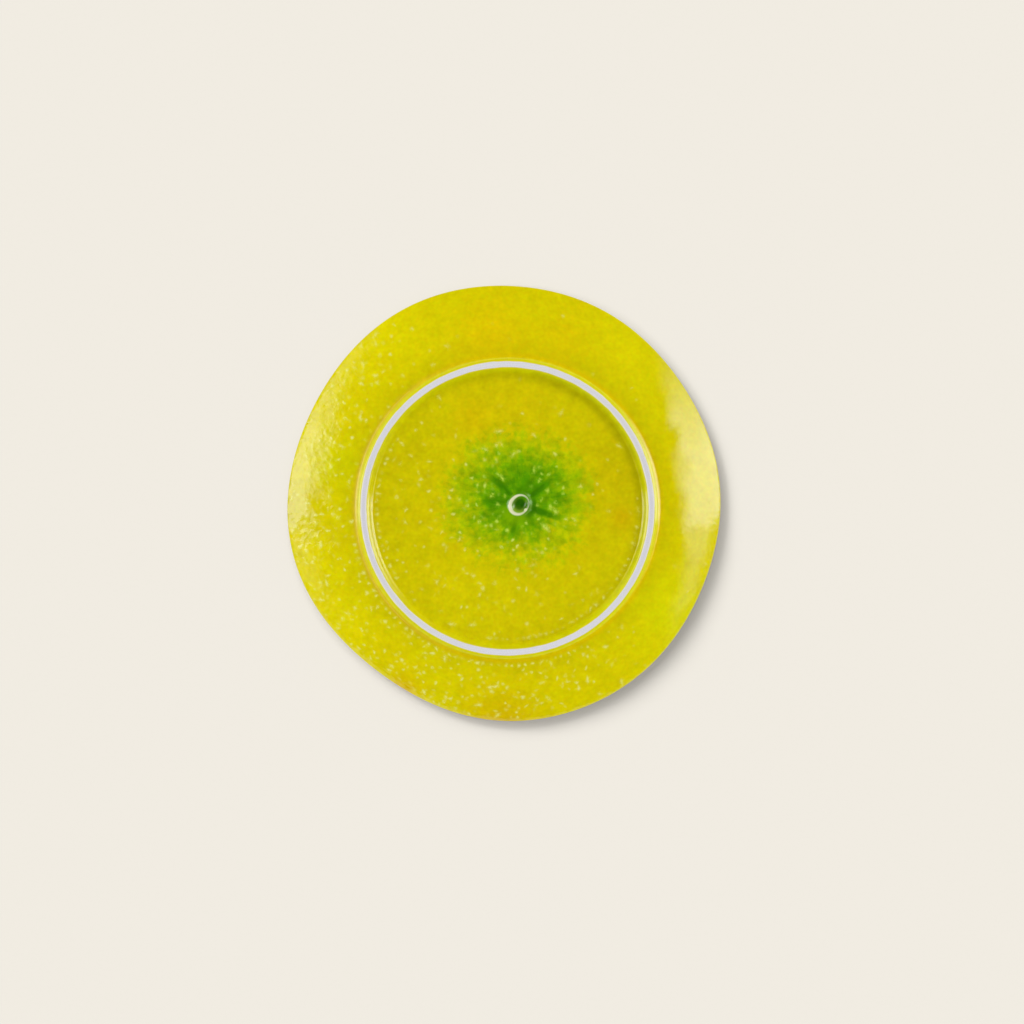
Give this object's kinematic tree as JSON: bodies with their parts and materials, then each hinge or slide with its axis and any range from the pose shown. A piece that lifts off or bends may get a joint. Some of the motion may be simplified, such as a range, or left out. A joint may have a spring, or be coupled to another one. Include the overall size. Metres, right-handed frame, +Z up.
{
  "type": "ceramic plate",
  "caption": "Round glazed plate with a foot ring, lying face down, its underside shaped and glazed like the stem end of a lemon.",
  "frame": {"origin": "middle of the outline, on the table that the rim stands on", "axes": "+Z up, out of the foot ring; +X to the right and +Y away, with the plate lying face down"},
  "size_m": [0.2098, 0.211, 0.022],
  "materials": {
    "glaze": "gloss"
  },
  "bodies": {
    "root": {"plate": "glaze"}
  },
  "joints": []
}
